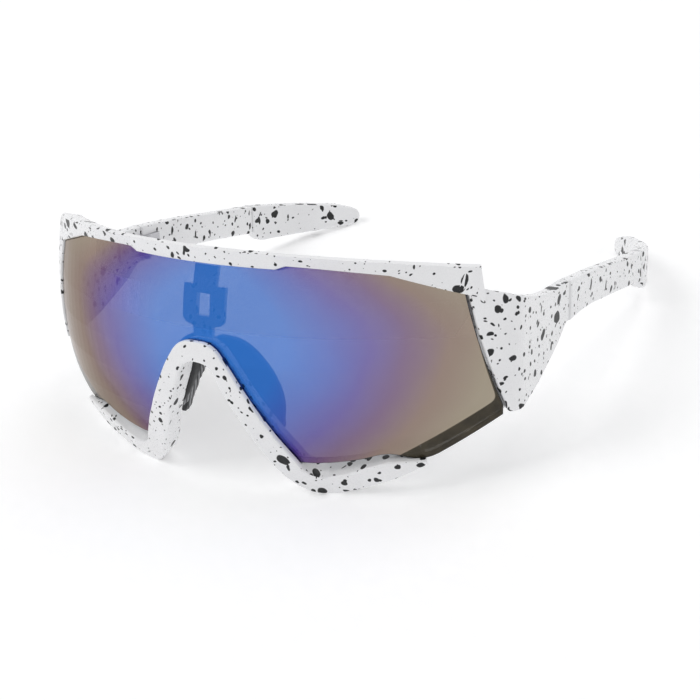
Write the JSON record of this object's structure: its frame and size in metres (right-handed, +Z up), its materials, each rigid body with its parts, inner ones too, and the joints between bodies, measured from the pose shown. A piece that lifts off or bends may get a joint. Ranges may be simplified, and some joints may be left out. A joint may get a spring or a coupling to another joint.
{
  "type": "sport sunglasses",
  "caption": "Wraparound sport sunglasses with one mirrored shield lens, a speckled white front, rubber nose pads and hinged folding temples.",
  "frame": {"origin": "centre of the overall box in X and Y, on the floor under the temple tips and the nose frame", "axes": "+X to the wearer's left, +Y from the lens towards the temple tips, +Z up"},
  "size_m": [0.145, 0.1624, 0.0665],
  "materials": {
    "speckled_white": "semi-gloss white with irregular black speckles",
    "mirror_lens": "polished mirror coating, blue in the middle and violet to bronze at the sides",
    "pad_rubber": "matte",
    "hinge_metal": "satin",
    "steel": "turned"
  },
  "bodies": {
    "front": {"front_frame": "speckled_white", "lens": "mirror_lens", "nose_frame": "speckled_white", "centre_clip": "speckled_white", "nose_pad_left": "pad_rubber", "nose_pad_right": "pad_rubber", "hinge_front_leaf_left": "hinge_metal", "hinge_screw_left": "steel", "front_rivet_left_1": "steel", "front_rivet_left_2": "steel", "hinge_front_leaf_right": "hinge_metal", "hinge_screw_right": "steel", "front_rivet_right_1": "steel", "front_rivet_right_2": "steel"},
    "temple_arm_left": {"hinge_rear_leaf_left": "hinge_metal", "rear_rivet_left_1": "steel", "rear_rivet_left_2": "steel", "temple_left": "speckled_white", "temple_tip_left": "speckled_white", "temple_core_left": "steel"},
    "temple_arm_right": {"hinge_rear_leaf_right": "hinge_metal", "rear_rivet_right_1": "steel", "rear_rivet_right_2": "steel", "temple_right": "speckled_white", "temple_tip_right": "speckled_white", "temple_core_right": "steel"}
  },
  "joints": [
    {"name": "fold_left", "type": "hinge", "parent": "front", "child": "temple_arm_left", "pos_m": [0.06598, -0.01167, 0.0308], "axis": [0, 0.2148, 0.9767], "range_deg": [0, 90]},
    {"name": "fold_right", "type": "hinge", "parent": "front", "child": "temple_arm_right", "pos_m": [-0.06598, -0.01167, 0.0308], "axis": [0, -0.2148, -0.9767], "range_deg": [0, 74]}
  ]
}
